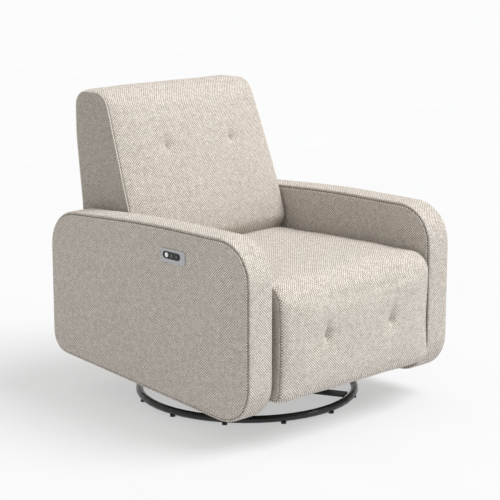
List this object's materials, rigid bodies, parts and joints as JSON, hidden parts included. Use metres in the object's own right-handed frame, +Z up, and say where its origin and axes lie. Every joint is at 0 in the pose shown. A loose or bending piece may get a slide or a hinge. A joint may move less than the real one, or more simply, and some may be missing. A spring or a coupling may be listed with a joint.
{
  "type": "recliner armchair",
  "caption": "Upholstered power recliner that swivels and glides on a round steel base, with a folding footrest and a reclining back between padded slab arms.",
  "frame": {"origin": "on the floor under the middle of the chair's bounding box", "axes": "+Z up, the chair faces -Y, +X is on the right of someone looking at its front (the sitter's left)"},
  "size_m": [0.862, 0.922, 0.9543],
  "materials": {
    "upholstery": "chunky basket weave tweed, matt",
    "black_steel": "satin black powder coat",
    "zinc_steel": "zinc plated",
    "spring_steel": "oiled black wire",
    "hardwood": "unfinished plywood and hardwood",
    "black_nylon": "moulded",
    "switch_black": "fine moulded texture",
    "brushed_panel": "brushed along its length",
    "silver_button": "satin silver"
  },
  "bodies": {
    "base": {"base_ring": "black_steel", "base_bar_lower": "black_steel", "base_bar_upper": "black_steel", "hub_plate": "black_steel", "swivel_bearing": "zinc_steel", "centre_bolt": "zinc_steel", "glide_foot_01": "black_nylon", "glide_foot_02": "black_nylon", "glide_foot_03": "black_nylon", "glide_foot_04": "black_nylon", "glide_foot_05": "black_nylon", "glide_foot_06": "black_nylon", "glide_foot_07": "black_nylon", "glide_foot_08": "black_nylon", "glide_foot_09": "black_nylon", "glide_foot_10": "black_nylon", "glide_foot_11": "black_nylon", "glide_foot_12": "black_nylon"},
    "swivel_carriage": {"swivel_plate": "black_steel", "glide_stand_right": "black_steel", "glide_stand_left": "black_steel"},
    "front_links": {"glide_link_front_right": "zinc_steel", "glide_link_front_left": "zinc_steel"},
    "rear_links": {"glide_link_rear_right": "zinc_steel", "glide_link_rear_left": "zinc_steel"},
    "seat_frame": {"side_plate_right": "black_steel", "side_plate_left": "black_steel", "glide_hanger_right": "black_steel", "glide_hanger_left": "black_steel", "front_rail": "hardwood", "rear_rail": "hardwood", "seat_spring_1": "spring_steel", "seat_spring_2": "spring_steel", "seat_spring_3": "spring_steel", "seat_spring_4": "spring_steel", "drive_motor": "switch_black", "drive_rail": "zinc_steel", "arm_cover_right": "upholstery", "arm_cover_left": "upholstery", "arm_board_right": "hardwood", "arm_board_left": "hardwood", "control_panel": "brushed_panel", "switch_housing": "switch_black", "rear_valance": "upholstery", "power_inlet": "switch_black", "seat_cushion": "upholstery"},
    "back": {"back_cushion": "upholstery", "back_board": "hardwood", "back_bracket_right": "black_steel", "back_bracket_left": "black_steel"},
    "footrest": {"footrest_pad": "upholstery", "footrest_board": "hardwood", "footrest_bracket_right": "black_steel", "footrest_bracket_left": "black_steel"},
    "drive_crank": {"torque_tube": "black_steel"},
    "push_links": {"push_link_right": "zinc_steel", "push_link_left": "zinc_steel"},
    "drive_slide": {"drive_block": "switch_black"},
    "return_button": {"return_button": "silver_button"},
    "recline_button": {"recline_button": "switch_black"}
  },
  "joints": [
    {"name": "swivel", "type": "hinge", "parent": "base", "child": "swivel_carriage", "pos_m": [0, 0.028, 0.05], "axis": [0, 0, 1], "continuous": true},
    {"name": "glide_front_links", "type": "hinge", "parent": "swivel_carriage", "child": "front_links", "pos_m": [0, -0.07, 0.262], "axis": [1, 0, 0], "range_deg": [-15, 15]},
    {"name": "glide_rear_links", "type": "hinge", "parent": "swivel_carriage", "child": "rear_links", "pos_m": [0, 0.16, 0.262], "axis": [1, 0, 0], "range_deg": [-15, 15]},
    {"name": "seat_glide", "type": "hinge", "parent": "front_links", "child": "seat_frame", "pos_m": [0, -0.07, 0.142], "axis": [1, 0, 0], "range_deg": [-15, 15]},
    {"name": "back_recline", "type": "hinge", "parent": "seat_frame", "child": "back", "pos_m": [0, 0.3, 0.36], "axis": [-1, 0, 0], "range_deg": [0, 35]},
    {"name": "footrest_lift", "type": "hinge", "parent": "seat_frame", "child": "footrest", "pos_m": [0, -0.4, 0.44], "axis": [-1, 0, 0], "range_deg": [0, 85]},
    {"name": "torque_tube_turn", "type": "hinge", "parent": "seat_frame", "child": "drive_crank", "pos_m": [0, -0.05, 0.307], "axis": [-1, 0, 0], "range_deg": [0, 85]},
    {"name": "push_link_pivot", "type": "hinge", "parent": "drive_crank", "child": "push_links", "pos_m": [0, 0.01, 0.167], "axis": [-1, 0, 0], "range_deg": [-85, 0]},
    {"name": "drive_block_slide", "type": "slide", "parent": "seat_frame", "child": "drive_slide", "axis": [0, -1, 0], "range_m": [0, 0.1352]},
    {"name": "return_button_push", "type": "slide", "parent": "seat_frame", "child": "return_button", "axis": [1, 0, 0], "range_m": [0, 0.0012], "stiffness_N_per_m": 400, "springref_m": -0.0005},
    {"name": "recline_button_push", "type": "slide", "parent": "seat_frame", "child": "recline_button", "axis": [1, 0, 0], "range_m": [0, 0.0012], "stiffness_N_per_m": 400, "springref_m": -0.0005}
  ],
  "couplings": [
    {"joint": "glide_front_links", "follows": "seat_glide", "ratio": -1},
    {"joint": "glide_rear_links", "follows": "seat_glide", "ratio": -1},
    {"joint": "torque_tube_turn", "follows": "footrest_lift", "ratio": 1},
    {"joint": "push_link_pivot", "follows": "footrest_lift", "ratio": -1},
    {"joint": "drive_block_slide", "follows": "footrest_lift", "m_per_rad": 0.09107}
  ]
}
